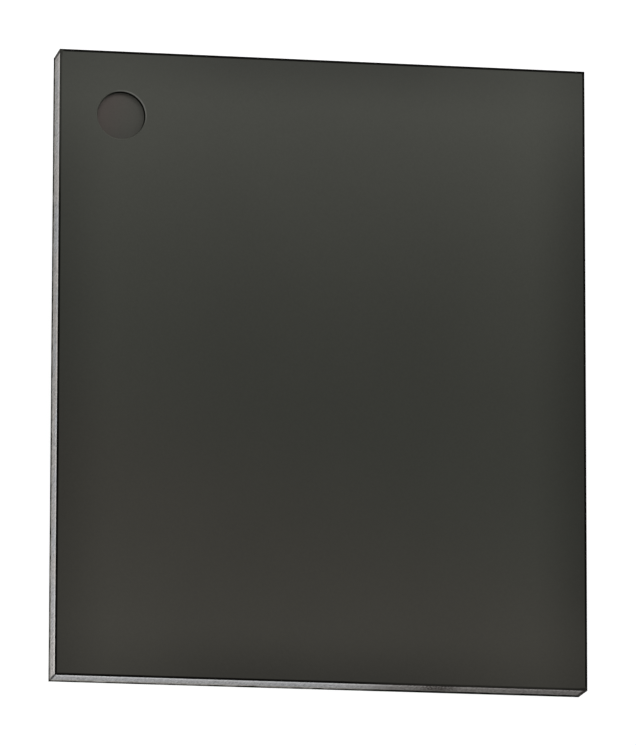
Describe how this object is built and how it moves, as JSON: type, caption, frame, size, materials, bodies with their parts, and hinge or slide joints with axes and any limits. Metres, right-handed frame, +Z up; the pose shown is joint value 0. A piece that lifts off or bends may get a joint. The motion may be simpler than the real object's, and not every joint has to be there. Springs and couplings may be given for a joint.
{
  "type": "ball grid array chip",
  "caption": "Thin rectangular moulded integrated circuit in a ball grid array package, with a pin-one dimple on its bare top and a square grid of solder balls beneath.",
  "frame": {"origin": "under the middle of the body, in the seating plane that the tips of the solder balls touch", "axes": "+Z up through the moulded top, +Y along the longer side of the body towards ball row A, +X along the shorter side; ball A1 and the dimple are at the -X, +Y corner"},
  "size_m": [0.011, 0.013, 0.0014],
  "materials": {
    "mold_compound": "dark grey epoxy moulding compound, finely textured on top, sawn and paler on the sides",
    "silicon": "grey silicon with a smooth face",
    "die_film": "thin amber adhesive film",
    "bond_gold": "drawn gold wire",
    "trace_copper": "plated copper",
    "plated_copper": "copper with nickel and a thin layer of gold",
    "laminate": "sawn glass-epoxy laminate",
    "solder_mask": "dark green solder mask with a satin gloss",
    "solder": "satin tin alloy, reflowed to round balls"
  },
  "bodies": {
    "root": {"mold_cap": "mold_compound", "silicon_die": "silicon", "die_attach_film": "die_film", "bond_wires_front": "bond_gold", "bond_wires_rear": "bond_gold", "top_solder_mask": "solder_mask", "top_traces_front": "trace_copper", "top_traces_rear": "trace_copper", "substrate_core": "laminate", "plated_vias": "trace_copper", "ball_lands": "plated_copper", "bottom_solder_mask": "solder_mask", "index_mark": "plated_copper", "solder_balls_row_a": "solder", "solder_balls_row_b": "solder", "solder_balls_row_c": "solder", "solder_balls_row_d": "solder", "solder_balls_row_e": "solder", "solder_balls_row_f": "solder", "solder_balls_row_g": "solder", "solder_balls_row_h": "solder"}
  },
  "joints": []
}
